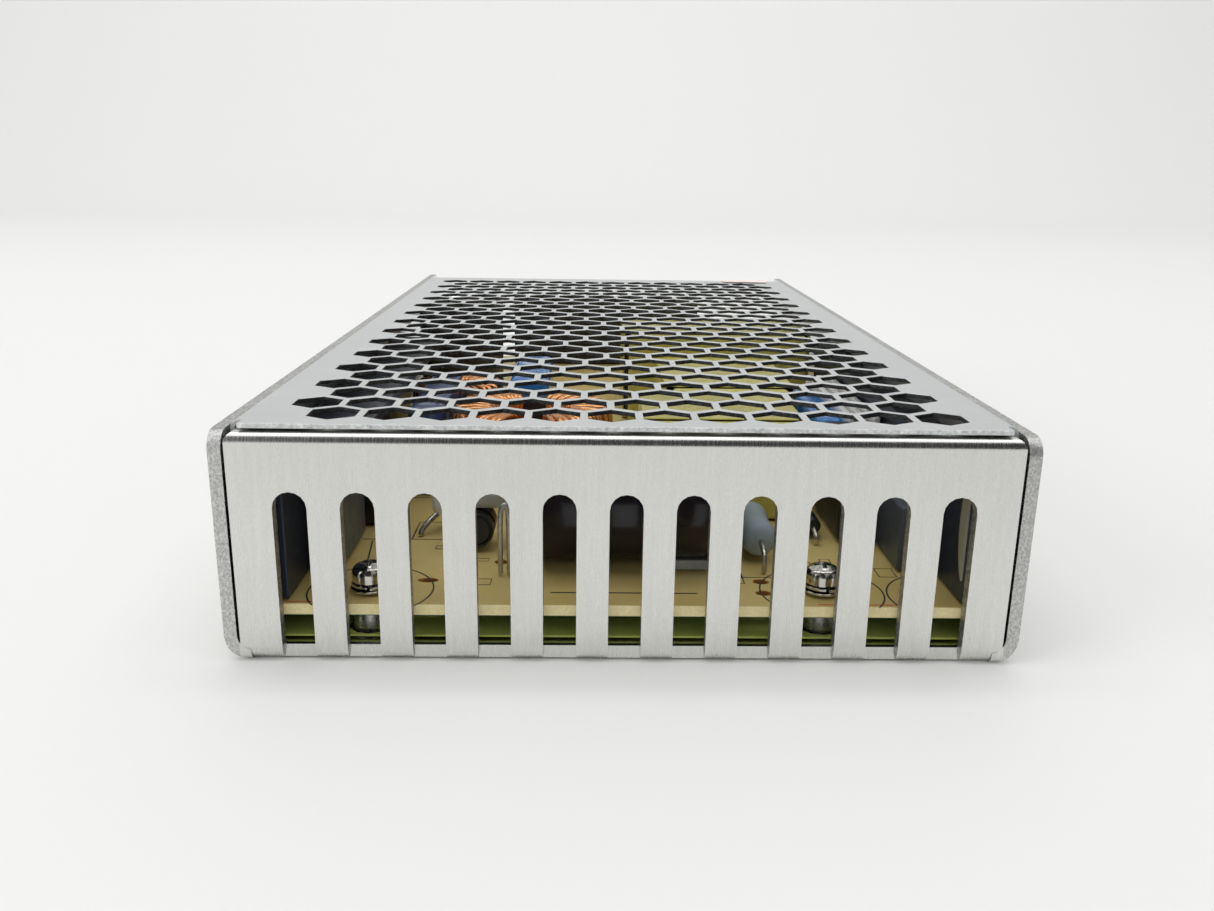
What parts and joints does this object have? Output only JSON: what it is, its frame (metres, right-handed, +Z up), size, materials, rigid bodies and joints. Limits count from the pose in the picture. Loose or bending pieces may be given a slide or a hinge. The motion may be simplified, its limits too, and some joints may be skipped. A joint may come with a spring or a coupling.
{
  "type": "enclosed switching power supply",
  "caption": "Low-profile enclosed power supply: folded aluminium tray with a slotted end wall, honeycomb-perforated cover, populated circuit board and screw terminals.",
  "frame": {"origin": "centre of the footprint on the resting plane, under the tray", "axes": "+X across the width, +Y along the length from the slotted end wall to the terminal end, +Z up from the tray to the perforated cover"},
  "size_m": [0.099, 0.179, 0.0306],
  "materials": {
    "brushed_aluminium": "vertically brushed, satin",
    "zinc_steel": "matte blue-grey zinc plating",
    "bright_steel": "bright plated screws",
    "tinned_metal": "tinned, semi-bright",
    "tan_laminate": "tan laminate with dark print lines and a green underside",
    "insulating_film": "thin glossy film",
    "dark_sleeve": "glossy shrink sleeve",
    "dark_anodised": "dark anodised plate",
    "grey_moulding": "dark grey moulding",
    "black_moulding": "black moulding",
    "ferrite": "matte dark ferrite",
    "yellow_tape": "yellow polyester tape",
    "enamelled_copper": "glossy enamelled copper wire",
    "blue_epoxy": "blue coating",
    "navy_epoxy": "dark blue case",
    "grey_ceramic": "matte grey-blue coating",
    "white_moulding": "off-white moulding",
    "clear_adhesive": "glossy grey-white setting compound",
    "plain_label": "plain pale red sticker"
  },
  "bodies": {
    "enclosure": {"chassis": "brushed_aluminium", "cover": "zinc_steel", "circuit_board": "tan_laminate", "insulating_sheet": "insulating_film", "standoff_1": "tinned_metal", "standoff_2": "tinned_metal", "standoff_3": "tinned_metal", "standoff_4": "tinned_metal", "board_screw_1": "bright_steel", "board_screw_2": "bright_steel", "board_screw_3": "bright_steel", "board_screw_4": "bright_steel", "bulk_capacitor": "dark_sleeve", "adhesive_bead": "clear_adhesive", "adhesive_cap": "clear_adhesive", "supply_capacitor": "black_moulding", "power_resistor": "grey_ceramic", "wire_link": "tinned_metal", "upright_resistor": "white_moulding", "film_capacitor": "blue_epoxy", "line_capacitor": "navy_epoxy", "safety_capacitor": "blue_epoxy", "ribbed_insulator": "white_moulding", "filter_choke": "enamelled_copper", "small_diode": "black_moulding", "input_capacitor": "black_moulding", "heat_spreader_left": "dark_anodised", "heat_spreader_right": "dark_anodised", "power_device_left": "grey_moulding", "power_device_right": "grey_moulding", "output_rectifier": "black_moulding", "line_choke_core": "ferrite", "line_choke_coil_left": "enamelled_copper", "line_choke_coil_right": "enamelled_copper", "drive_transformer_core": "ferrite", "drive_transformer_coil": "yellow_tape", "drive_transformer_tape": "yellow_tape", "storage_choke_core": "ferrite", "storage_choke_coil": "yellow_tape", "storage_choke_tape": "yellow_tape", "main_transformer_core": "ferrite", "main_transformer_coil": "yellow_tape", "main_transformer_tape": "yellow_tape", "output_capacitor": "black_moulding", "trimmer_body": "blue_epoxy", "terminal_block": "black_moulding", "cover_screw_left": "bright_steel", "cover_screw_right": "bright_steel", "plain_label": "plain_label"},
    "clamp_1": {"clamp_plate_1": "tinned_metal"},
    "screw_1": {"terminal_screw_1": "bright_steel"},
    "clamp_2": {"clamp_plate_2": "tinned_metal"},
    "screw_2": {"terminal_screw_2": "bright_steel"},
    "clamp_3": {"clamp_plate_3": "tinned_metal"},
    "screw_3": {"terminal_screw_3": "bright_steel"},
    "clamp_4": {"clamp_plate_4": "tinned_metal"},
    "screw_4": {"terminal_screw_4": "bright_steel"},
    "clamp_5": {"clamp_plate_5": "tinned_metal"},
    "screw_5": {"terminal_screw_5": "bright_steel"},
    "trimmer": {"trimmer_rotor": "white_moulding"}
  },
  "joints": [
    {"name": "clamp_lift_1", "type": "slide", "parent": "enclosure", "child": "clamp_1", "axis": [0, 0, 1], "range_m": [0, 0.003]},
    {"name": "screw_turn_1", "type": "hinge", "parent": "clamp_1", "child": "screw_1", "pos_m": [-0.019, 0.0813, 0.013], "axis": [0, 0, 1], "range_deg": [0, 1800]},
    {"name": "clamp_lift_2", "type": "slide", "parent": "enclosure", "child": "clamp_2", "axis": [0, 0, 1], "range_m": [0, 0.003]},
    {"name": "screw_turn_2", "type": "hinge", "parent": "clamp_2", "child": "screw_2", "pos_m": [-0.0095, 0.0813, 0.013], "axis": [0, 0, 1], "range_deg": [0, 1800]},
    {"name": "clamp_lift_3", "type": "slide", "parent": "enclosure", "child": "clamp_3", "axis": [0, 0, 1], "range_m": [0, 0.003]},
    {"name": "screw_turn_3", "type": "hinge", "parent": "clamp_3", "child": "screw_3", "pos_m": [0, 0.0813, 0.013], "axis": [0, 0, 1], "range_deg": [0, 1800]},
    {"name": "clamp_lift_4", "type": "slide", "parent": "enclosure", "child": "clamp_4", "axis": [0, 0, 1], "range_m": [0, 0.003]},
    {"name": "screw_turn_4", "type": "hinge", "parent": "clamp_4", "child": "screw_4", "pos_m": [0.0095, 0.0813, 0.013], "axis": [0, 0, 1], "range_deg": [0, 1800]},
    {"name": "clamp_lift_5", "type": "slide", "parent": "enclosure", "child": "clamp_5", "axis": [0, 0, 1], "range_m": [0, 0.003]},
    {"name": "screw_turn_5", "type": "hinge", "parent": "clamp_5", "child": "screw_5", "pos_m": [0.019, 0.0813, 0.013], "axis": [0, 0, 1], "range_deg": [0, 1800]},
    {"name": "trimmer_turn", "type": "hinge", "parent": "enclosure", "child": "trimmer", "pos_m": [0.034, 0.0805, 0.01205], "axis": [0, 0, 1], "range_deg": [-135, 135]}
  ],
  "couplings": [
    {"joint": "screw_turn_1", "follows": "clamp_lift_1", "rad_per_m": 10472},
    {"joint": "screw_turn_2", "follows": "clamp_lift_2", "rad_per_m": 10472},
    {"joint": "screw_turn_3", "follows": "clamp_lift_3", "rad_per_m": 10472},
    {"joint": "screw_turn_4", "follows": "clamp_lift_4", "rad_per_m": 10472},
    {"joint": "screw_turn_5", "follows": "clamp_lift_5", "rad_per_m": 10472}
  ]
}
